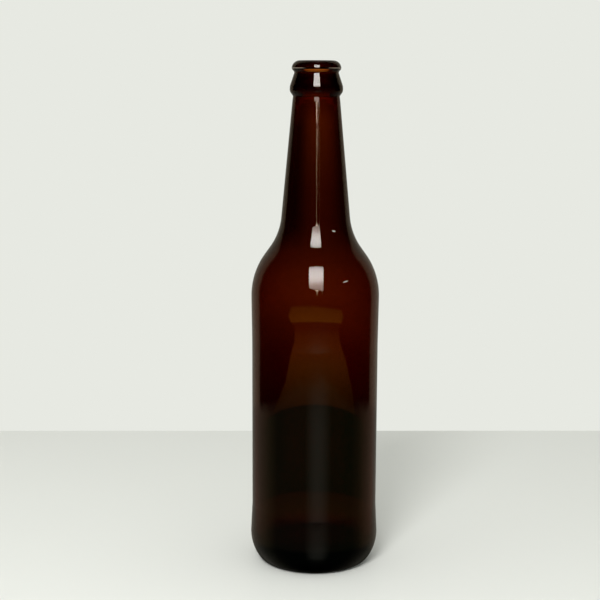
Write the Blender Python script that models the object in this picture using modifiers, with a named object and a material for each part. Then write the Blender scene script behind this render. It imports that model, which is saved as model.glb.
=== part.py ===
"""A long-necked amber glass beer bottle for a crown cap, empty and open at the mouth.

Metres, +Z up, origin at the centre of the ring that the bottle stands on. The bottle is one
piece of glass. Its outline goes up the inside, over the lip, down the outside and under the
base, and is turned round the Z axis.
"""

import math

import bpy
from mathutils import Vector

OBJECT_NAME = "amber_beer_bottle"
NODE_NAME = "bottle"

# The whole bottle
HEIGHT = 0.270
WALL = 0.0026

# Crown finish: a bead for the cap's skirt to grip, a groove, and a thicker ring below
BORE_RADIUS = 0.0080
BEAD_RADIUS = 0.01295
BEAD_HEIGHT = 0.0047
GROOVE_RADIUS = 0.0114
GROOVE_BELOW_TOP = 0.0058
RING_RADIUS = 0.0138
RING_BELOW_TOP = 0.0137
RING_FOOT_RADIUS = 0.0140
RING_FOOT_BELOW_TOP = 0.01615
LIP_INNER_ROUNDING = 0.0007
LIP_OUTER_ROUNDING = 0.0042
BEAD_ROUNDING = 0.0009
GROOVE_ROUNDING = 0.0016
RING_ROUNDING = 0.0038
RING_FOOT_ROUNDING = 0.0030

# Neck and shoulder
NECK_TOP_RADIUS = 0.0123
NECK_TOP_HEIGHT = 0.2513
NECK_TOP_ROUNDING = 0.0006
NECK_FOOT_RADIUS = 0.0191
NECK_FOOT_HEIGHT = 0.1790
NECK_FOOT_ROUNDING = 0.0347
SHOULDER_RADIUS = 0.03415
SHOULDER_HEIGHT = 0.1584
SHOULDER_ROUNDING = 0.0378

# Label panel, set back between the shoulder and the heel
PANEL_RADIUS = 0.0338
PANEL_SHOULDER_HEIGHT = 0.1433
PANEL_TOP_HEIGHT = 0.1377
PANEL_FOOT_HEIGHT = 0.0312
PANEL_TOP_ROUNDING = 0.0250
PANEL_FOOT_ROUNDING = 0.0180

# Heel, standing ring and the hollow under the base
HEEL_RADIUS = 0.0350
HEEL_HEIGHT = 0.00935
HEEL_ROUNDING = 0.0237
BASE_RADIUS = 0.0290
BASE_ROUNDING = 0.0064
STAND_INNER_RADIUS = 0.0200
STAND_INNER_ROUNDING = 0.0015
HOLLOW_HEIGHT = 0.0040
HOLLOW_FLAT_RADIUS = 0.0100
HOLLOW_ROUNDING = 0.0300

# Inside of the neck, where the narrow bore of the finish opens out
BORE_FOOT_HEIGHT = 0.2564
BORE_FOOT_ROUNDING = 0.0400
FLARE_RADIUS = 0.0109
FLARE_HEIGHT = 0.2380
FLARE_ROUNDING = 0.0800

# Inside of the base, a low dome over the hollow
BASE_THICKNESS = 0.0048
FLOOR_EDGE_HEIGHT = 0.0042
FLOOR_ROUNDING = 0.0110
FLOOR_DOME_RADIUS = 0.0110
FLOOR_DOME_ROUNDING = 0.0400

# Fineness of the turned faces
SIDES = 60
OUTSIDE_ARC_ERROR = 0.0001
INSIDE_ARC_ERROR = 0.0002
MERGE_DISTANCE = 0.00001

# Glass
AMBER = (0.165, 0.042, 0.008, 1.0)
GLASS_ROUGHNESS = 0.03
GLASS_IOR = 1.52


def unit_towards(start, end):
    """Unit vector from one outline point to another."""
    return (end - start).normalized()


def rounded_corner(before, corner, after, rounding, arc_error):
    """Points of the arc that rounds one corner of the outline and touches both its lines."""
    back = unit_towards(corner, before)
    ahead = unit_towards(corner, after)
    turn = math.pi - back.angle(ahead)
    if rounding == 0.0 or turn < 1e-4:
        return [corner]
    centre = corner + (back + ahead).normalized() * rounding / math.cos(turn / 2)
    spoke = corner + back * rounding * math.tan(turn / 2) - centre
    if (corner - before).cross(after - corner) < 0.0:
        turn = -turn
    step_limit = 2 * math.acos(1 - arc_error / rounding)
    steps = math.ceil(abs(turn) / step_limit)
    points = []
    for step in range(steps + 1):
        angle = turn * step / steps
        across = Vector((-spoke.y, spoke.x))
        points.append(centre + spoke * math.cos(angle) + across * math.sin(angle))
    return points


def rounded_outline(corners):
    """Outline through (radius, height, rounding, arc error) corners, each rounded by its own arc."""
    places = [Vector(corner[:2]) for corner in corners]
    points = [places[0]]
    for index in range(1, len(corners) - 1):
        before, corner, after = places[index - 1:index + 2]
        points += rounded_corner(before, corner, after, *corners[index][2:])
    points.append(places[-1])
    return points


def finish_corners():
    """Outside of the crown finish, from the lip down to the neck."""
    return [
        (BEAD_RADIUS, HEIGHT, LIP_OUTER_ROUNDING),
        (BEAD_RADIUS, HEIGHT - BEAD_HEIGHT, BEAD_ROUNDING),
        (GROOVE_RADIUS, HEIGHT - GROOVE_BELOW_TOP, GROOVE_ROUNDING),
        (RING_RADIUS, HEIGHT - RING_BELOW_TOP, RING_ROUNDING),
        (RING_FOOT_RADIUS, HEIGHT - RING_FOOT_BELOW_TOP, RING_FOOT_ROUNDING),
        (NECK_TOP_RADIUS, NECK_TOP_HEIGHT, NECK_TOP_ROUNDING),
    ]


def body_corners():
    """Outside of the bottle, from the foot of the neck down to the heel."""
    return [
        (NECK_FOOT_RADIUS, NECK_FOOT_HEIGHT, NECK_FOOT_ROUNDING),
        (SHOULDER_RADIUS, SHOULDER_HEIGHT, SHOULDER_ROUNDING),
        (SHOULDER_RADIUS, PANEL_SHOULDER_HEIGHT, PANEL_TOP_ROUNDING),
        (PANEL_RADIUS, PANEL_TOP_HEIGHT, PANEL_TOP_ROUNDING),
        (PANEL_RADIUS, PANEL_FOOT_HEIGHT, PANEL_FOOT_ROUNDING),
        (HEEL_RADIUS, HEEL_HEIGHT, HEEL_ROUNDING),
    ]


def base_corners():
    """Underside, from the rounded edge of the base to the top of the hollow on the axis."""
    return [
        (BASE_RADIUS, 0.0, BASE_ROUNDING),
        (STAND_INNER_RADIUS, 0.0, STAND_INNER_ROUNDING),
        (HOLLOW_FLAT_RADIUS, HOLLOW_HEIGHT, HOLLOW_ROUNDING),
        (0.0, HOLLOW_HEIGHT, 0.0),
    ]


def wall_inside(before, corner, after):
    """Where the inside faces of two straight stretches of wall meet, behind an outside corner."""
    above = unit_towards(before, corner)
    below = unit_towards(corner, after)
    out_above = Vector((-above.y, above.x))
    out_below = Vector((-below.y, below.x))
    inwards = -(out_above + out_below).normalized()
    return corner + inwards * WALL / -inwards.dot(out_above)


def inside_corners():
    """Inside of the bottle, from the middle of the floor up to the mouth."""
    neck_top = Vector((NECK_TOP_RADIUS, NECK_TOP_HEIGHT))
    neck_foot = Vector((NECK_FOOT_RADIUS, NECK_FOOT_HEIGHT))
    shoulder = Vector((SHOULDER_RADIUS, SHOULDER_HEIGHT))
    below_shoulder = Vector((SHOULDER_RADIUS, PANEL_SHOULDER_HEIGHT))
    inner_foot = wall_inside(neck_top, neck_foot, shoulder)
    inner_shoulder = wall_inside(neck_foot, shoulder, below_shoulder)
    body_radius = PANEL_RADIUS - WALL
    floor_height = HOLLOW_HEIGHT + BASE_THICKNESS
    return [
        (0.0, floor_height, 0.0),
        (FLOOR_DOME_RADIUS, floor_height, FLOOR_DOME_ROUNDING),
        (body_radius, FLOOR_EDGE_HEIGHT, FLOOR_ROUNDING),
        (body_radius, inner_shoulder.y, SHOULDER_ROUNDING - WALL),
        (inner_foot.x, inner_foot.y, NECK_FOOT_ROUNDING + WALL),
        (FLARE_RADIUS, FLARE_HEIGHT, FLARE_ROUNDING),
        (BORE_RADIUS, BORE_FOOT_HEIGHT, BORE_FOOT_ROUNDING),
        (BORE_RADIUS, HEIGHT, LIP_INNER_ROUNDING),
    ]


def bottle_outline():
    """The whole outline in one run, from the floor inside to the hollow under the base."""
    inside = [corner + (INSIDE_ARC_ERROR,) for corner in inside_corners()]
    outside = finish_corners() + body_corners() + base_corners()
    return rounded_outline(inside + [corner + (OUTSIDE_ARC_ERROR,) for corner in outside])


def amber_glass():
    """Clear brown glass."""
    material = bpy.data.materials.new("amber_glass")
    material.use_nodes = True
    surface = material.node_tree.nodes["Principled BSDF"]
    surface.inputs["Base Color"].default_value = AMBER
    surface.inputs["Roughness"].default_value = GLASS_ROUGHNESS
    surface.inputs["Metallic"].default_value = 0.0
    surface.inputs["IOR"].default_value = GLASS_IOR
    surface.inputs["Transmission Weight"].default_value = 1.0
    return material


def turned(name, outline, material, collection):
    """An outline in the XZ plane turned once round the Z axis."""
    mesh = bpy.data.meshes.new(name)
    points = [(point.x, 0.0, point.y) for point in outline]
    edges = [(index, index + 1) for index in range(len(points) - 1)]
    mesh.from_pydata(points, edges, [])
    mesh.materials.append(material)
    piece = bpy.data.objects.new(name, mesh)
    collection.objects.link(piece)
    screw = piece.modifiers.new("turn", "SCREW")
    screw.angle = math.tau
    screw.steps = SIDES
    screw.render_steps = SIDES
    screw.use_merge_vertices = True
    screw.merge_threshold = MERGE_DISTANCE
    screw.use_smooth_shade = True
    return piece


def main():
    for item in list(bpy.data.objects):
        bpy.data.objects.remove(item)
    collection = bpy.data.collections.new(OBJECT_NAME)
    bpy.context.scene.collection.children.link(collection)
    turned(NODE_NAME, bottle_outline(), amber_glass(), collection)


main()
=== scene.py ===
"""A long-necked amber glass beer bottle for a crown cap, standing empty on a pale table."""

import math

import bpy
from mathutils import Matrix, Vector


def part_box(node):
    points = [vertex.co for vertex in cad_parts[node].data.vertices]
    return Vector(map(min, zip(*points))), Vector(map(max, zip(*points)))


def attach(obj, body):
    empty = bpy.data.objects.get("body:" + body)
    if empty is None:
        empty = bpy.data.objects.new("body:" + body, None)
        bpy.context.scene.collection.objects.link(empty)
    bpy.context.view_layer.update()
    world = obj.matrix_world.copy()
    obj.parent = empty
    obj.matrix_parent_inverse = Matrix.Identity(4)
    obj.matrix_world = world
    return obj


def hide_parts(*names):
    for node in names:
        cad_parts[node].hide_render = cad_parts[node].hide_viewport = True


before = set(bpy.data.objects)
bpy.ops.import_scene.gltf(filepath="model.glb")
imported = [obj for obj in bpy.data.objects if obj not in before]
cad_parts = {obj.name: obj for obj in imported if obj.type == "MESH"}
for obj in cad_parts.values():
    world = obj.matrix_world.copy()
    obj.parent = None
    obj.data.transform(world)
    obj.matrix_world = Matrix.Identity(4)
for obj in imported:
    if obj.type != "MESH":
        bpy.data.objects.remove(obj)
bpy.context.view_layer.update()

bl_info = {
    "name": "Amber Beer Bottle",
    "version": (1, 0, 0),
    "blender": (4, 5, 0),
    "location": "3D View > Sidebar > Bottle",
    "description": "Turns an amber glass beer bottle and sets up a table, lights and a camera",
    "category": "Object",
}

CAD_NODE = "bottle"
BODY = "root"

# How far from its ends a straight run of the outline is held, in metres
HOLD = 0.0003

# Points of the outside outline that the inside follows, as (radius, height) or a height, and
# how round the corners are there, in metres
NECK_TOP_HEIGHT = 0.2516
NECK_FOOT = (0.01906, 0.1794)
NECK_FOOT_ROUNDING = 0.0330
SHOULDER_HEIGHT = 0.1584
SHOULDER_ROUNDING = 0.0378
BODY_HEIGHT = 0.1433

# The table's width, depth, thickness and worn edge, in metres
TABLE_SIZE = (2.6, 2.0, 0.024)
TABLE_BEVEL = 0.002

# Where the camera stands, in metres, and how it is turned, in degrees
IMAGE_SIDE = 600
FOCAL_PIXELS = 1324.0
CAMERA_PLACE = (0.0, -0.700, 0.26145)
CAMERA_PITCH = 9.563
CAMERA_YAW = 0.665
CAMERA_ROLL = 0.233
SENSOR_WIDTH = 36.0

# Edges of the lit panels, as (distance from the axis, height), and half their widths, in metres;
# where they stand, in degrees to the right of straight in front; and how far the ends of the
# softbox's low and high edges are raised at the right and lowered at the left, in metres
SOFTBOX_AZIMUTH = 1.6
SOFTBOX_LOW = (1.040, 0.450)
SOFTBOX_HIGH = (0.659, 1.050)
SOFTBOX_HALF_WIDTH = 0.226
SOFTBOX_SLANT = (-0.035, 0.012)
STAND_LOW = (1.050, 0.268)
STAND_HIGH = (1.050, 0.4470)
# The lamps on the softbox's stand, as (name, azimuth, half width, radiance)
STAND_LAMPS = (("stand_lamp", 3.2, 0.013, 22.0), ("stand_lamp_dim", 12.0, 0.012, 4.0))
SIDE_AZIMUTH = 59.5
SIDE_LOW = (0.60, 0.386)
SIDE_HIGH = (0.60, 0.408)
SIDE_HALF_WIDTH = 0.046

# Where the key light is and how wide it looks, in degrees and metres
KEY_AZIMUTH = -14.0
KEY_ELEVATION = 38.0
KEY_HALF_ANGLE = 9.0
KEY_DISTANCE = 1.2

# How tall the sleeve of light round the bottle is, in metres
SLEEVE_TOP = 0.258

DEGREES = 180 / math.pi


# ---------------------------------------------------------------- settings

def length(name, description, default):
    """A length in metres that a user can change."""
    return bpy.props.FloatProperty(name=name, description=description, default=default,
                                   min=0.0, precision=5, unit="LENGTH")


class BottleSizes(bpy.types.PropertyGroup):
    """Sizes of the turned glass."""
    height: length("Height", "From the table to the lip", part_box(CAD_NODE)[1].z)
    wall: length("Wall", "Thickness of the body's wall", 0.0026)
    bead_radius: length("Bead radius", "Bead that a crown cap grips", 0.01295)
    bore_radius: length("Bore radius", "Narrowest part of the mouth", 0.0080)
    neck_radius: length("Neck radius", "Top of the neck, under the finish", 0.01222)
    shoulder_radius: length("Shoulder radius", "Widest part of the shoulder", 0.03415)
    panel_radius: length("Panel radius", "Body between the shoulder and the heel", 0.0338)
    heel_radius: length("Heel radius", "Corner of the outline at the heel", 0.034922)
    sides: bpy.props.IntProperty(name="Sides", description="Faces round the bottle",
                                 default=160, min=12, max=256)
    arc_error: length("Arc error", "How far a rounded corner may be from its arc", 0.000006)


class GlassFinish(bpy.types.PropertyGroup):
    """Colour and surface of the amber glass."""
    density: bpy.props.FloatProperty(
        name="Density", description="How strongly a metre of the glass absorbs light",
        default=1200.0, min=0.0)
    colour: bpy.props.FloatVectorProperty(
        name="Colour", description="Light that the glass lets through best", size=3,
        subtype="COLOR", min=0.0, max=1.0, default=(0.642, 0.325, 0.075))
    ior: bpy.props.FloatProperty(name="IOR", description="How much the glass bends light",
                                 default=1.52, min=1.0, max=3.0)
    waviness: bpy.props.FloatProperty(
        name="Waviness", description="How uneven the blown surface is", default=0.06,
        min=0.0, max=1.0, subtype="FACTOR")


class StageSettings(bpy.types.PropertyGroup):
    """Table, room and lamps."""
    table_colour: bpy.props.FloatVectorProperty(
        name="Table colour", description="Pale plain table top", size=3, subtype="COLOR",
        min=0.0, max=1.0, default=(0.715, 0.725, 0.690))
    wall_colour: bpy.props.FloatVectorProperty(
        name="Wall colour", description="Pale plain wall behind the bottle", size=3,
        subtype="COLOR", min=0.0, max=1.0, default=(0.80, 0.815, 0.762))
    back_edge: length("Back edge", "From the bottle's axis to the back of the table", 0.264)
    table_turn: bpy.props.FloatProperty(
        name="Table turn", description="How far the table is turned about the upright axis",
        default=math.radians(1.6), subtype="ANGLE")
    softbox_power: bpy.props.FloatProperty(
        name="Softbox brightness", description="Radiance of the tall softbox in front",
        default=14.0, min=0.0)
    lamp_power: bpy.props.FloatProperty(
        name="Lamp brightness", description="Radiance of the small lamp at the right",
        default=9.0, min=0.0)
    key_power: bpy.props.FloatProperty(
        name="Key brightness", description="Radiance of the key light at the left",
        default=31.0, min=0.0)
    sleeve_radius: length("Sleeve radius", "Tinted sleeve that glows through the glass", 0.0365)


# ---------------------------------------------------------------- shader maths

class Wire:
    """A socket on which Python's operators add Math nodes."""

    def __init__(self, tree, socket):
        self.tree = tree
        self.socket = socket

    def maths(self, operation, *others):
        """Adds a Math node that works on this socket and then on the others."""
        terms = dict(enumerate([self, *others]))
        return self.tree.node("ShaderNodeMath", {"operation": operation}, terms)

    def __add__(self, other):
        return self.maths("ADD", other)

    def __radd__(self, other):
        return self.maths("ADD", other)

    def __sub__(self, other):
        return self.maths("SUBTRACT", other)

    def __rsub__(self, other):
        return self.tree.node("ShaderNodeMath", {"operation": "SUBTRACT"}, {0: other, 1: self})

    def __mul__(self, other):
        return self.maths("MULTIPLY", other)

    def __rmul__(self, other):
        return self.maths("MULTIPLY", other)

    def __abs__(self):
        return self.maths("ABSOLUTE")


class Tree:
    """A node tree that is filled from top to bottom."""

    def __init__(self, nodes_of):
        nodes_of.use_nodes = True
        self.nodes = nodes_of.node_tree.nodes
        self.links = nodes_of.node_tree.links
        self.nodes.clear()

    def node(self, kind, settings=None, inputs=None, output=0):
        """Adds a node: its settings first, then the values or links of its sockets.

        Gives back the named output, or a list of outputs where several are named.
        """
        new = self.nodes.new(kind)
        for name, value in (settings or {}).items():
            if name == "stops":
                self.set_stops(new.color_ramp, *value)
            else:
                setattr(new, name, value)
        for name, value in (inputs or {}).items():
            socket = new.inputs[name]
            if isinstance(value, Wire):
                self.links.new(value.socket, socket)
            elif socket.type == "RGBA":
                socket.default_value = (*value, 1.0)
            else:
                socket.default_value = value
        if not new.outputs:
            return None
        if isinstance(output, tuple):
            return [Wire(self, new.outputs[name]) for name in output]
        return Wire(self, new.outputs[output])

    @staticmethod
    def set_stops(ramp, interpolation, stops):
        """Stops of a colour ramp, as (position, grey or colour)."""
        ramp.interpolation = interpolation
        while len(ramp.elements) > 1:
            ramp.elements.remove(ramp.elements[-1])
        for index, (position, value) in enumerate(stops):
            colour = value if isinstance(value, tuple) else (value, value, value)
            stop = ramp.elements[0] if index == 0 else ramp.elements.new(position)
            stop.position = position
            stop.color = (*colour, 1.0)

    def ramp(self, value, low, high, stops, interpolation="LINEAR"):
        """A colour ramp over a value that runs from low to high; stops are in the value's unit."""
        share = self.node("ShaderNodeMapRange", {"clamp": True},
                          {"Value": value, "From Min": low, "From Max": high})
        scaled = [((place - low) / (high - low), shade) for place, shade in stops]
        return self.node("ShaderNodeValToRGB", {"stops": (interpolation, scaled)}, {"Fac": share},
                         output="Color")

    def mix(self, share, first, second, blend="MIX"):
        """Two colours mixed by a share, or multiplied or added in that share."""
        return self.node(
            "ShaderNodeMix", {"data_type": "RGBA", "blend_type": blend, "clamp_result": False},
            {0: share, 6: first, 7: second}, output=2)

    def soft_step(self, value, start, end):
        """0 below the start and 1 past the end, eased in between."""
        return self.node("ShaderNodeMapRange", {"interpolation_type": "SMOOTHSTEP"},
                         {"Value": value, "From Min": start, "From Max": end})

    def place(self):
        """Where a point is on the piece itself, in metres."""
        return self.node("ShaderNodeTexCoord", output="Object")

    def parts(self, vector):
        """The X, Y and Z of a vector."""
        return self.node("ShaderNodeSeparateXYZ", inputs={"Vector": vector},
                         output=("X", "Y", "Z"))


# ---------------------------------------------------------------- outline of the glass

def unit_towards(start, end):
    """The direction from one point to another, 1 long."""
    return (end - start).normalized()


def rounded_corner(before, corner, after, rounding, arc_error):
    """Points of the arc that rounds one corner of the outline and touches both its lines."""
    back = unit_towards(corner, before)
    ahead = unit_towards(corner, after)
    turn = math.pi - back.angle(ahead)
    if rounding == 0.0 or turn < 1e-4:
        return [corner]
    centre = corner + (back + ahead).normalized() * rounding / math.cos(turn / 2)
    spoke = corner + back * rounding * math.tan(turn / 2) - centre
    if (corner - before).cross(after - corner) < 0.0:
        turn = -turn
    steps = math.ceil(abs(turn) / (2 * math.acos(1 - arc_error / rounding)))
    points = []
    for step in range(steps + 1):
        angle = turn * step / steps
        across = Vector((-spoke.y, spoke.x))
        points.append(centre + spoke * math.cos(angle) + across * math.sin(angle))
    return points


def rounded_outline(corners, arc_error):
    """Outline through (radius, height, rounding) corners, each rounded by its own arc.

    A straight run between two arcs gets a holding point near each end, so that smooth shading
    stays true along it.
    """
    places = [Vector(corner[:2]) for corner in corners]
    points = [places[0]]
    for index in range(1, len(corners)):
        if index < len(corners) - 1:
            arc = rounded_corner(*places[index - 1:index + 2], corners[index][2], arc_error)
        else:
            arc = [places[-1]]
        run = arc[0] - points[-1]
        if run.length > 4 * HOLD:
            points += [points[-1] + run.normalized() * HOLD, arc[0] - run.normalized() * HOLD]
        points += arc
    return points


def outside_corners(sizes):
    """Outside of the glass, from the lip down and under the base to the axis.

    Each corner is (radius, height, rounding).
    """
    top = sizes.height
    return [
        (sizes.bead_radius, top, 0.0042),
        (sizes.bead_radius, top - 0.0047, 0.0018),
        (0.0114, top - 0.0058, 0.0013),
        (0.01388, top - 0.0132, 0.0028),
        (0.0140, top - 0.0159, 0.0030),
        (sizes.neck_radius, NECK_TOP_HEIGHT, 0.0003),
        (0.01252, 0.2493, 0.0060),
        (*NECK_FOOT, NECK_FOOT_ROUNDING),
        (sizes.shoulder_radius, SHOULDER_HEIGHT, SHOULDER_ROUNDING),
        (sizes.shoulder_radius, 0.1450, 0.0600),
        (sizes.panel_radius, 0.1210, 0.0600),
        (sizes.panel_radius, 0.0312, 0.0180),
        (sizes.heel_radius, 0.00935, 0.0228),
        (0.0290, 0.0, 0.0064),
        (0.0200, 0.0, 0.0015),
        (0.0100, 0.0040, 0.0300),
        (0.0, 0.0040, 0.0),
    ]


def wall_inside(before, corner, after, wall):
    """Where the inside faces of two straight stretches of wall meet, behind an outside corner."""
    above = unit_towards(before, corner)
    below = unit_towards(corner, after)
    out_above = Vector((-above.y, above.x))
    out_below = Vector((-below.y, below.x))
    inwards = -(out_above + out_below).normalized()
    return corner + inwards * wall / -inwards.dot(out_above)


def inside_corners(sizes):
    """Inside of the glass, from the middle of the floor up to the mouth.

    Each corner is (radius, height, rounding).
    """
    neck_top = Vector((sizes.neck_radius, NECK_TOP_HEIGHT))
    neck_foot = Vector(NECK_FOOT)
    shoulder = Vector((sizes.shoulder_radius, SHOULDER_HEIGHT))
    below = Vector((sizes.shoulder_radius, BODY_HEIGHT))
    inner_foot = wall_inside(neck_top, neck_foot, shoulder, sizes.wall)
    inner_shoulder = wall_inside(neck_foot, shoulder, below, sizes.wall)
    body = sizes.panel_radius - sizes.wall
    return [
        (0.0, 0.0088, 0.0),
        (0.0110, 0.0088, 0.0400),
        (body, 0.0042, 0.0110),
        (body, inner_shoulder.y, SHOULDER_ROUNDING - sizes.wall),
        (*inner_foot, NECK_FOOT_ROUNDING + sizes.wall),
        (0.0109, 0.2380, 0.0800),
        (sizes.bore_radius, 0.2564, 0.0400),
        (sizes.bore_radius, sizes.height, 0.0007),
    ]


# ---------------------------------------------------------------- modelling steps

def start_fresh():
    """Leaves edit mode and deselects everything."""
    if bpy.context.object and bpy.context.object.mode != "OBJECT":
        bpy.ops.object.mode_set(mode="OBJECT")
    bpy.ops.object.select_all(action="DESELECT")


def turned_shell(name, points, sides):
    """Draws an outline point by point in the XZ plane and spins it once round the Z axis."""
    start_fresh()
    first = points[0]
    bpy.ops.mesh.primitive_plane_add(size=0.001, location=(first.x, 0.0, first.y))
    shell = bpy.context.object
    shell.name = shell.data.name = name
    bpy.ops.object.mode_set(mode="EDIT")
    bpy.ops.mesh.select_mode(type="VERT")
    bpy.ops.mesh.select_all(action="SELECT")
    bpy.ops.mesh.merge(type="CENTER")
    for here, there in zip(points, points[1:]):
        step = (there.x - here.x, 0.0, there.y - here.y)
        bpy.ops.mesh.extrude_vertices_move(TRANSFORM_OT_translate={"value": step})
    bpy.ops.mesh.select_all(action="SELECT")
    bpy.ops.mesh.spin(steps=sides, angle=math.tau, center=(0.0, 0.0, 0.0),
                      axis=(0.0, 0.0, 1.0), use_auto_merge=True)
    bpy.ops.mesh.select_all(action="SELECT")
    bpy.ops.mesh.remove_doubles(threshold=0.000002)
    bpy.ops.mesh.normals_make_consistent(inside=False)
    bpy.ops.object.mode_set(mode="OBJECT")
    bpy.ops.object.transform_apply(location=True, rotation=True, scale=True)
    bpy.ops.object.shade_smooth()
    return shell


# ---------------------------------------------------------------- materials

def amber_glass(finish):
    """Clear amber glass, slightly wavy where it was blown against the mould."""
    material = bpy.data.materials.new("amber_glass")
    tree = Tree(material)
    stretched = tree.node("ShaderNodeMapping", inputs={
        "Vector": tree.place(), "Scale": (1.0, 1.0, 0.35)})
    swells = tree.node("ShaderNodeTexNoise", inputs={
        "Vector": stretched, "Scale": 120.0, "Detail": 2.0, "Roughness": 0.45})
    bump = tree.node("ShaderNodeBump", inputs={
        "Strength": finish.waviness, "Distance": 0.0008, "Height": swells})
    surface = tree.node("ShaderNodeBsdfPrincipled", inputs={
        "Base Color": (1.0, 1.0, 1.0), "Roughness": 0.0, "IOR": finish.ior,
        "Transmission Weight": 1.0, "Normal": bump})
    inside = tree.node("ShaderNodeVolumeAbsorption", inputs={
        "Color": tuple(finish.colour), "Density": finish.density})
    tree.node("ShaderNodeOutputMaterial", inputs={"Surface": surface, "Volume": inside})
    return material


def pale_table(stage):
    """Smooth pale table top with a soft gloss."""
    material = bpy.data.materials.new("pale_table")
    tree = Tree(material)
    clouds = tree.node("ShaderNodeTexNoise", inputs={
        "Vector": tree.place(), "Scale": 4.0, "Detail": 3.0, "Roughness": 0.5})
    darker = tuple(0.95 * part for part in stage.table_colour)
    colour = tree.mix(clouds, darker, tuple(stage.table_colour))
    surface = tree.node("ShaderNodeBsdfPrincipled", inputs={
        "Base Color": colour, "Roughness": 0.42, "IOR": 1.45, "Specular IOR Level": 0.3})
    tree.node("ShaderNodeOutputMaterial", inputs={"Surface": surface})
    return material


def glow(name, colour):
    """A material that only gives off light, in a colour that a function makes in its tree."""
    material = bpy.data.materials.new(name)
    tree = Tree(material)
    lit = tree.node("ShaderNodeEmission", inputs={"Color": colour(tree), "Strength": 1.0})
    tree.node("ShaderNodeOutputMaterial", inputs={"Surface": lit})
    return material


def height_of(tree):
    """Height over the table, in millimetres."""
    return tree.parts(tree.place())[2] * 1000.0


def softbox_cloth(tree, power):
    """The softbox's cloth: brightest in the middle, dimmer and warmer towards its lower edge."""
    profile = (
        (450.0, 0.30, 0.80, 0.68), (523.0, 0.40, 0.80, 0.68), (585.0, 0.55, 0.82, 0.72),
        (684.0, 0.85, 0.90, 0.82), (782.0, 1.00, 0.94, 0.88), (880.0, 0.92, 0.95, 0.90),
        (960.0, 0.80, 0.94, 0.88), (1020.0, 0.62, 0.90, 0.84), (1050.0, 0.45, 0.88, 0.82))
    return tree.ramp(height_of(tree), profile[0][0], profile[-1][0], [
        (height, (power * share, power * share * green, power * share * blue))
        for height, share, green, blue in profile])


def stand_lamp(tree, power):
    """A narrow lamp on the softbox's stand, brighter in places."""
    height = height_of(tree)
    patches = tree.node("ShaderNodeTexNoise", {"noise_dimensions": "1D"},
                        {"W": height, "Scale": 0.28, "Detail": 2.0, "Roughness": 0.6})
    warm = tuple(power * part for part in (1.0, 0.78, 0.55))
    broken = tree.ramp(patches, 0.0, 1.0, [(0.42, 0.55), (0.52, 0.8), (0.60, 1.0)])
    fading = tree.ramp(height, STAND_LOW[1] * 1000, STAND_HIGH[1] * 1000, [
        (268.0, 0.10), (330.0, 0.20), (375.0, 0.45), (400.0, 1.1), (420.0, 1.9), (430.0, 3.2),
        (447.0, 4.0)])
    return tree.mix(1.0, tree.mix(1.0, broken, fading, "MULTIPLY"), warm, "MULTIPLY")


def around_back(tree, turn, left, right, soft):
    """1 between two angles from straight behind, in degrees, and 0 outside them."""
    return tree.soft_step(turn - left, -soft, soft) * tree.soft_step(right - turn, -soft, soft)


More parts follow.
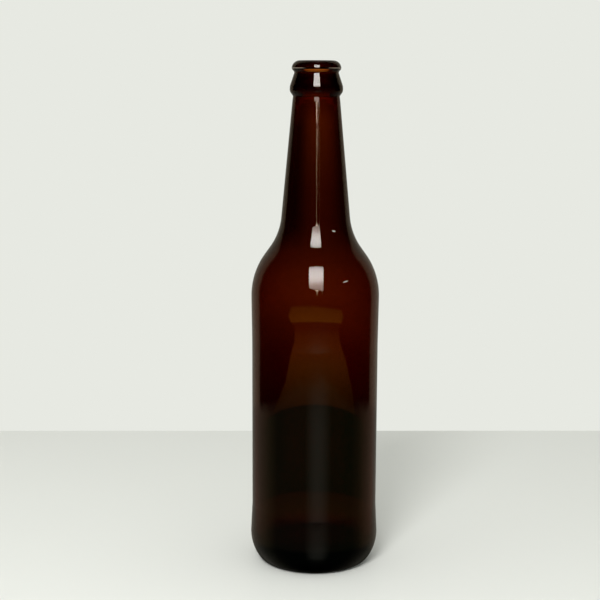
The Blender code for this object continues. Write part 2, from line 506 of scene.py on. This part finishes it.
def sleeve_glow(tree):
    """What shines through the glass, by height and by the angle from straight behind."""
    x, y, z = tree.parts(tree.place())
    turn = x.maths("ARCTAN2", y) * DEGREES
    height = z * 1000.0

    # The glow behind the bottle, dark towards the table and darker at the neck's sides
    flank = tree.ramp(height, -20.0, 260.0, [
        (-16.0, (0.0, 0.01, 0.01)), (-9.0, (0.01, 0.03, 0.01)), (-5.0, (0.07, 0.08, 0.03)),
        (2.0, (0.15, 0.40, 0.05)), (8.0, (0.17, 0.52, 0.05)), (13.0, (0.11, 0.40, 0.04)),
        (19.6, (0.075, 0.24, 0.03)), (25.6, (0.055, 0.12, 0.015)), (26.4, (0.01, 0.01, 0.005)),
        (62.0, (0.01, 0.01, 0.005)), (72.0, (0.03, 0.0, 0.0)), (85.6, (0.080, 0.0, 0.0)),
        (100.0, (0.15, 0.0, 0.0)), (112.0, (0.20, 0.04, 0.0)), (120.0, (0.31, 0.14, 0.03)),
        (130.0, (0.45, 0.30, 0.06)), (139.4, (0.64, 0.50, 0.12)), (146.0, (0.62, 0.50, 0.12)),
        (153.4, (0.56, 0.46, 0.12)), (160.0, (0.44, 0.36, 0.10)), (166.4, (0.35, 0.28, 0.08)),
        (173.0, (0.23, 0.16, 0.05)), (182.0, (0.18, 0.10, 0.03)), (200.0, (0.20, 0.12, 0.03)),
        (217.0, (0.30, 0.25, 0.05)), (234.0, (0.43, 0.36, 0.06)), (250.4, (0.56, 0.55, 0.1)),
        (251.3, (1.3, 0.6, 0.1)), (252.2, (1.2, 0.6, 0.1)), (253.2, (0.75, 0.5, 0.1)),
        (254.4, (0.52, 0.4, 0.08)), (260.0, (0.8, 0.5, 0.1))])
    neck_turn = tree.ramp(turn, -180.0, 180.0, [
        (-180.0, 1.0), (-90.0, 0.9), (-62.0, 0.08), (-46.0, 0.02), (-24.0, 0.18), (-17.0, 0.34),
        (-10.0, 0.74), (0.0, 1.0), (12.0, 1.02), (24.0, 0.80), (46.0, 0.16), (62.0, 0.18),
        (90.0, 0.9), (180.0, 1.0)])
    is_neck = tree.ramp(height, 160.0, 260.0, [
        (166.0, 0.0), (178.0, 1.0), (236.0, 1.0), (250.0, 0.55), (260.0, 0.2)])
    neck_shade = tree.mix(is_neck, (1.0, 1.0, 1.0), neck_turn)
    back = tree.mix(1.0, flank, neck_shade, "MULTIPLY")

    # Brighter to the right than to the left, over the body
    lean = tree.ramp(turn, -90.0, 90.0, [(-40.0, 0.80), (0.0, 1.0), (38.0, 1.25)])
    is_middle = tree.ramp(height, 60.0, 160.0, [
        (76.0, 0.0), (86.0, 1.0), (125.0, 1.0), (140.0, 0.0)])
    back = tree.mix(1.0, back, tree.mix(is_middle, (1.0, 1.0, 1.0), lean), "MULTIPLY")

    # Painted light: a paler form in the glow straight behind, narrow at its top and wide at its
    # foot
    left_edge = tree.ramp(height, 60.0, 140.0, [
        (70.0, 0.45), (75.6, 0.436), (84.0, 0.355), (91.0, 0.290), (107.0, 0.237), (115.0, 0.200),
        (123.8, 0.197), (125.0, 0.225), (129.5, 0.262), (134.6, 0.232)])
    right_edge = tree.ramp(height, 60.0, 140.0, [
        (70.0, 0.44), (75.6, 0.422), (84.0, 0.400), (91.0, 0.372), (107.0, 0.294), (115.0, 0.245),
        (123.8, 0.227), (125.0, 0.255), (129.5, 0.278), (133.6, 0.250)])
    pale = tree.ramp(height, 60.0, 140.0, [
        (62.0, (0.03, 0.05, 0.02)), (74.0, (0.09, 0.20, 0.06)), (80.0, (0.13, 0.28, 0.08)),
        (86.0, (0.17, 0.36, 0.10)), (100.0, (0.36, 0.60, 0.20)), (112.0, (0.50, 0.60, 0.20)),
        (117.0, (0.50, 0.55, 0.20)), (122.0, (0.44, 0.32, 0.12)), (125.4, (0.48, 0.38, 0.14)),
        (126.2, (0.78, 1.45, 0.45)), (135.0, (0.70, 1.20, 0.35))])
    form = around_back(tree, turn, left_edge * -100.0, right_edge * 100.0, 1.0)
    tilted = height + turn * 0.025
    form = form * tree.ramp(tilted, 60.0, 140.0, [
        (71.0, 0.0), (76.0, 1.0), (133.5, 1.0), (134.2, 0.0)])
    back = tree.mix(form, back, pale)

    # Painted shade: a dark patch low down in the glow behind the glass, with an arched upper edge
    past_arch = tree.soft_step(height + turn * turn * 0.0019, 76.6, 77.9)
    patch = around_back(tree, turn, -57.0, 57.0, 1.6) * (1.0 - past_arch)
    patch = patch * tree.ramp(height, 0.0, 260.0, [(25.4, 0.0), (26.4, 1.0)])
    back = tree.mix(patch, back, (0.003, 0.085, 0.030))

    # The glow at the bottle's sides and in front
    around = tree.ramp(height, 0.0, 260.0, [
        (0.0, (0.12, 0.09, 0.05)), (10.0, (0.26, 0.19, 0.09)), (25.0, (0.42, 0.26, 0.10)),
        (60.0, (0.34, 0.20, 0.08)), (110.0, (0.36, 0.22, 0.08)), (140.0, (0.60, 0.34, 0.12)),
        (166.0, (0.38, 0.22, 0.08)), (200.0, (0.28, 0.14, 0.05)), (250.0, (0.53, 0.25, 0.1)),
        (260.0, (0.45, 0.12, 0.03))])
    aside = tree.ramp(abs(turn), 0.0, 180.0, [(70.0, 0.0), (105.0, 1.0)], "EASE")
    return tree.mix(aside, back, around)


# ---------------------------------------------------------------- room

def room_light(stage):
    """The room round the table, as a plain wall and as what the glass mirrors and lets through."""
    world = bpy.data.worlds.new("room")
    tree = Tree(world)
    x, y, z = tree.parts(tree.node("ShaderNodeTexCoord", output="Generated"))
    turn = x.maths("ARCTAN2", y) * DEGREES
    height = z.maths("ARCSINE") * DEGREES
    off_back = abs(turn)

    # What the glass mirrors: a bright wall behind, a dark room in front, and the floor below
    level = tree.ramp(off_back, 0.0, 180.0, [
        (0.0, (0.31, 0.30, 0.265)), (15.0, (0.26, 0.245, 0.21)), (25.0, (0.27, 0.24, 0.19)),
        (40.0, (0.265, 0.21, 0.155)), (52.0, (0.25, 0.18, 0.12)), (57.0, (0.21, 0.15, 0.095)),
        (62.0, (0.02, 0.015, 0.01)), (66.0, (0.0, 0.0, 0.0)), (180.0, (0.0, 0.0, 0.0))])
    low = tree.ramp(turn, -180.0, 180.0, [
        (-180.0, (0.045, 0.040, 0.026)), (-145.0, (0.045, 0.040, 0.026)),
        (-108.0, (0.042, 0.042, 0.026)), (-92.0, (0.11, 0.09, 0.05)),
        (-78.0, (0.18, 0.135, 0.08)), (-65.0, (0.20, 0.15, 0.10)),
        (-45.0, (0.205, 0.165, 0.125)), (-25.0, (0.20, 0.18, 0.15)), (0.0, (0.28, 0.275, 0.25)),
        (25.0, (0.20, 0.18, 0.15)), (45.0, (0.20, 0.155, 0.115)), (65.0, (0.19, 0.13, 0.08)),
        (78.0, (0.16, 0.11, 0.06)), (92.0, (0.07, 0.06, 0.03)), (108.0, (0.030, 0.040, 0.018)),
        (145.0, (0.032, 0.036, 0.019)), (180.0, (0.045, 0.040, 0.026))])
    under = tree.ramp(turn, -180.0, 180.0, [
        (-180.0, (0.01, 0.014, 0.01)), (-120.0, (0.01, 0.014, 0.01)),
        (-100.0, (0.025, 0.025, 0.018)), (-79.0, (0.07, 0.07, 0.05)), (-41.0, (0.14, 0.13, 0.11)),
        (-22.0, (0.05, 0.05, 0.04)), (0.0, (0.01, 0.01, 0.01)), (22.0, (0.04, 0.04, 0.03)),
        (41.0, (0.10, 0.095, 0.075)), (79.0, (0.045, 0.042, 0.032)),
        (100.0, (0.015, 0.015, 0.011)), (120.0, (0.01, 0.014, 0.01)),
        (180.0, (0.01, 0.014, 0.01))])
    front_drop = tree.ramp(off_back, 0.0, 180.0, [(109.0, 0.0), (150.0, 0.9), (180.0, 1.0)])
    is_low = tree.ramp(height - front_drop, -30.0, 0.0, [(-14.4, 1.0), (-13.9, 0.0)])
    is_under = tree.ramp(height, -90.0, 0.0, [(-30.0, 1.0), (-20.5, 0.0)])
    mirrored = tree.mix(is_low, level, low)
    mirrored = tree.mix(is_under, mirrored, under)

    # A pale upright strip in front, low down
    strip_turn = (turn - 173.0).maths("WRAP", 180.0, -180.0)
    strip = tree.ramp(abs(strip_turn), 0.0, 180.0, [
        (0.0, 1.0), (7.0, 0.9), (13.0, 0.6), (24.0, 0.0)])
    strip_low = tree.ramp(height, -90.0, 0.0, [
        (-62.0, 0.05), (-50.0, 0.25), (-40.0, 0.9), (-15.0, 1.0), (-13.5, 0.6), (-12.8, 0.15),
        (-12.0, 0.0)])
    strip = tree.mix(1.0, strip, strip_low, "MULTIPLY")
    strip = tree.mix(1.0, strip, (0.165, 0.168, 0.138), "MULTIPLY")
    mirrored = tree.mix(1.0, mirrored, strip, "ADD")
    fade = tree.ramp(height, -90.0, 0.0, [(-75.0, 0.25), (-45.0, 1.0)])
    mirrored = tree.mix(1.0, mirrored, fade, "MULTIPLY")

    # What shows past the glow of the sleeve, round the mouth and under the base
    through = tree.ramp(height, -90.0, 90.0, [
        (-90.0, (0.003, 0.005, 0.004)), (-52.0, (0.003, 0.005, 0.004)),
        (-40.0, (0.003, 0.006, 0.004)), (-25.0, (0.006, 0.012, 0.006)),
        (-12.0, (0.015, 0.025, 0.012)), (-4.0, (0.08, 0.08, 0.03)), (0.0, (0.5, 0.5, 0.1)),
        (4.0, (1.3, 2.6, 0.5)), (14.0, (1.4, 3.2, 0.8)), (17.0, (2.1, 3.2, 1.2)),
        (24.0, (2.2, 2.8, 1.2)), (28.0, (0.5, 0.5, 0.1)), (90.0, (0.3, 0.2, 0.05))])

    # Each kind of view gets its own light, and the table is lit evenly
    is_camera, is_glossy, is_through = tree.node("ShaderNodeLightPath", output=(
        "Is Camera Ray", "Is Glossy Ray", "Is Transmission Ray"))
    light = tree.mix(is_glossy, (0.795, 0.808, 0.777), mirrored)
    light = tree.mix(is_through, light, through)
    light = tree.mix(is_camera, light, tuple(stage.wall_colour))
    back = tree.node("ShaderNodeBackground", inputs={"Color": light, "Strength": 1.0})
    tree.node("ShaderNodeOutputWorld", inputs={"Surface": back})
    bpy.context.scene.world = world


def make_table(stage):
    """A pale table top whose back edge lies behind the bottle."""
    start_fresh()
    _, depth, thickness = TABLE_SIZE
    bpy.ops.mesh.primitive_cube_add(
        size=1.0, location=(0.0, stage.back_edge - depth / 2, -thickness / 2), scale=TABLE_SIZE)
    table = bpy.context.object
    table.name = table.data.name = "table"
    bpy.ops.object.mode_set(mode="EDIT")
    bpy.ops.mesh.select_all(action="SELECT")
    bpy.ops.mesh.bevel(offset=TABLE_BEVEL, segments=3, affect="EDGES")
    bpy.ops.object.mode_set(mode="OBJECT")
    table.matrix_world = Matrix.Rotation(stage.table_turn, 4, "Z") @ table.matrix_world
    bpy.ops.object.transform_apply(location=True, rotation=True, scale=True)
    table.data.materials.append(pale_table(stage))
    table.visible_glossy = False
    table.visible_transmission = False


def seen_only_by(piece, glossy=False, transmission=False):
    """Keeps a lit stage piece out of every other kind of view."""
    piece.visible_camera = False
    piece.visible_diffuse = False
    piece.visible_shadow = False
    piece.visible_glossy = glossy
    piece.visible_transmission = transmission


def front_panel(name, azimuth, low_edge, high_edge, half_width, material, slant=(0.0, 0.0)):
    """A flat lit panel in front of the bottle, between two level edges.

    An edge is given by its distance from the bottle's axis and its height, in metres. The
    azimuth is in degrees to the right of straight in front. The slant is how far the right ends
    of the two edges are raised, and their left ends lowered.
    """
    start_fresh()
    low, high = (Vector((0.0, -distance, height)) for distance, height in (low_edge, high_edge))
    rise = high - low
    lean = math.atan2(rise.y, rise.z)
    bpy.ops.mesh.primitive_plane_add(size=1.0, location=(low + high) / 2,
                                     rotation=(math.pi / 2 - lean, 0.0, 0.0))
    panel = bpy.context.object
    panel.name = panel.data.name = name
    panel.scale = (2 * half_width, rise.length, 1.0)
    bpy.context.view_layer.update()
    swing = Matrix.Rotation(math.radians(azimuth), 4, "Z")
    panel.matrix_world = swing @ panel.matrix_world
    bpy.ops.object.transform_apply(location=True, rotation=True, scale=True)
    for corner in panel.data.vertices:
        side = 1.0 if corner.co.x > panel.data.vertices[0].co.x + half_width else -1.0
        corner.co.z += side * slant[1 if corner.co.z > (low.z + high.z) / 2 else 0]
    panel.data.materials.append(material)
    seen_only_by(panel, glossy=True)


def key_light(power):
    """A soft key light in front at the left, which throws the bottle's shadow on the table."""
    data = bpy.data.lights.new("key", "AREA")
    data.shape = "DISK"
    data.size = 2 * KEY_DISTANCE * math.tan(math.radians(KEY_HALF_ANGLE))
    data.energy = power * math.pi * math.pi * data.size ** 2 / 4
    lamp = bpy.data.objects.new("key", data)
    bpy.context.scene.collection.objects.link(lamp)
    side, lift = math.radians(KEY_AZIMUTH), math.radians(KEY_ELEVATION)
    lamp.location = Vector((math.sin(side) * math.cos(lift), -math.cos(side) * math.cos(lift),
                            math.sin(lift))) * KEY_DISTANCE
    lamp.rotation_euler = (math.radians(90.0 - KEY_ELEVATION), 0.0, side)
    lamp.visible_camera = False
    lamp.visible_glossy = False
    lamp.visible_transmission = False


def make_sleeve(stage):
    """A glowing sleeve round the bottle, painted with light and shade, that only the light bent by
    the glass can see.
    """
    start_fresh()
    bpy.ops.mesh.primitive_cylinder_add(
        vertices=128, radius=stage.sleeve_radius, depth=SLEEVE_TOP, end_fill_type="NOTHING",
        location=(0.0, 0.0, SLEEVE_TOP / 2))
    sleeve = bpy.context.object
    sleeve.name = sleeve.data.name = "sleeve"
    bpy.ops.object.transform_apply(location=True, rotation=True, scale=True)
    sleeve.data.materials.append(glow("sleeve_glow", sleeve_glow))
    seen_only_by(sleeve, transmission=True)


def make_camera():
    """The camera, looking down on the bottle from the front."""
    data = bpy.data.cameras.new("camera")
    data.sensor_width = SENSOR_WIDTH
    data.lens = SENSOR_WIDTH * FOCAL_PIXELS / IMAGE_SIDE
    data.clip_start = 0.01
    data.clip_end = 50.0
    camera = bpy.data.objects.new("camera", data)
    bpy.context.scene.collection.objects.link(camera)
    yaw = Matrix.Rotation(math.radians(CAMERA_YAW), 4, "Z")
    pitch = Matrix.Rotation(math.radians(90.0 - CAMERA_PITCH), 4, "X")
    roll = Matrix.Rotation(math.radians(CAMERA_ROLL), 4, "Z")
    camera.matrix_world = Matrix.Translation(CAMERA_PLACE) @ yaw @ pitch @ roll
    bpy.context.scene.camera = camera


# ---------------------------------------------------------------- operators and panel

class BOTTLE_OT_glass(bpy.types.Operator):
    """Turn the bottle's glass, with its open mouth, hollow inside and base"""
    bl_idname = "bottle.glass"
    bl_label = "Turn the glass"

    def execute(self, context):
        sizes = context.scene.bottle_sizes
        corners = inside_corners(sizes) + outside_corners(sizes)
        glass = turned_shell("glass", rounded_outline(corners, sizes.arc_error), sizes.sides)
        glass.data.materials.append(amber_glass(context.scene.glass_finish))
        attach(glass, BODY)
        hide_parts(CAD_NODE)
        return {"FINISHED"}


class BOTTLE_OT_stage(bpy.types.Operator):
    """Set up the table, the room, the lamps and the camera"""
    bl_idname = "bottle.stage"
    bl_label = "Set the stage"

    def execute(self, context):
        stage = context.scene.stage_settings
        room_light(stage)
        make_table(stage)
        make_camera()
        make_sleeve(stage)
        cloth = glow("softbox_cloth", lambda tree: softbox_cloth(tree, stage.softbox_power))
        front_panel("softbox", SOFTBOX_AZIMUTH, SOFTBOX_LOW, SOFTBOX_HIGH, SOFTBOX_HALF_WIDTH,
                    cloth, SOFTBOX_SLANT)
        for name, azimuth, half_width, power in STAND_LAMPS:
            lamp = glow(name, lambda tree, power=power: stand_lamp(tree, power))
            front_panel(name, azimuth, STAND_LOW, STAND_HIGH, half_width, lamp)
        bulb = glow("side_lamp", lambda tree: (stage.lamp_power,) * 3)
        front_panel("side_lamp", SIDE_AZIMUTH, SIDE_LOW, SIDE_HIGH, SIDE_HALF_WIDTH, bulb)
        key_light(stage.key_power)
        context.scene.view_settings.view_transform = "Standard"
        return {"FINISHED"}


class BOTTLE_PT_panel(bpy.types.Panel):
    """Sizes, glass and stage of the bottle"""
    bl_idname = "BOTTLE_PT_panel"
    bl_label = "Amber Beer Bottle"
    bl_space_type = "VIEW_3D"
    bl_region_type = "UI"
    bl_category = "Bottle"

    def draw(self, context):
        column = self.layout.column()
        for group in (context.scene.bottle_sizes, context.scene.glass_finish,
                      context.scene.stage_settings):
            for name in group.bl_rna.properties.keys():
                if name not in ("rna_type", "name"):
                    column.prop(group, name)
        for operator in (BOTTLE_OT_glass, BOTTLE_OT_stage):
            column.operator(operator.bl_idname)


CLASSES = (BottleSizes, GlassFinish, StageSettings, BOTTLE_OT_glass, BOTTLE_OT_stage,
           BOTTLE_PT_panel)
GROUPS = {"bottle_sizes": BottleSizes, "glass_finish": GlassFinish,
          "stage_settings": StageSettings}


def register():
    for kind in CLASSES:
        bpy.utils.register_class(kind)
    for name, kind in GROUPS.items():
        setattr(bpy.types.Scene, name, bpy.props.PointerProperty(type=kind))


def unregister():
    for name in GROUPS:
        delattr(bpy.types.Scene, name)
    for kind in reversed(CLASSES):
        bpy.utils.unregister_class(kind)


def main():
    register()
    bpy.ops.bottle.stage()
    bpy.ops.bottle.glass()


if __name__ == "__main__":
    main()
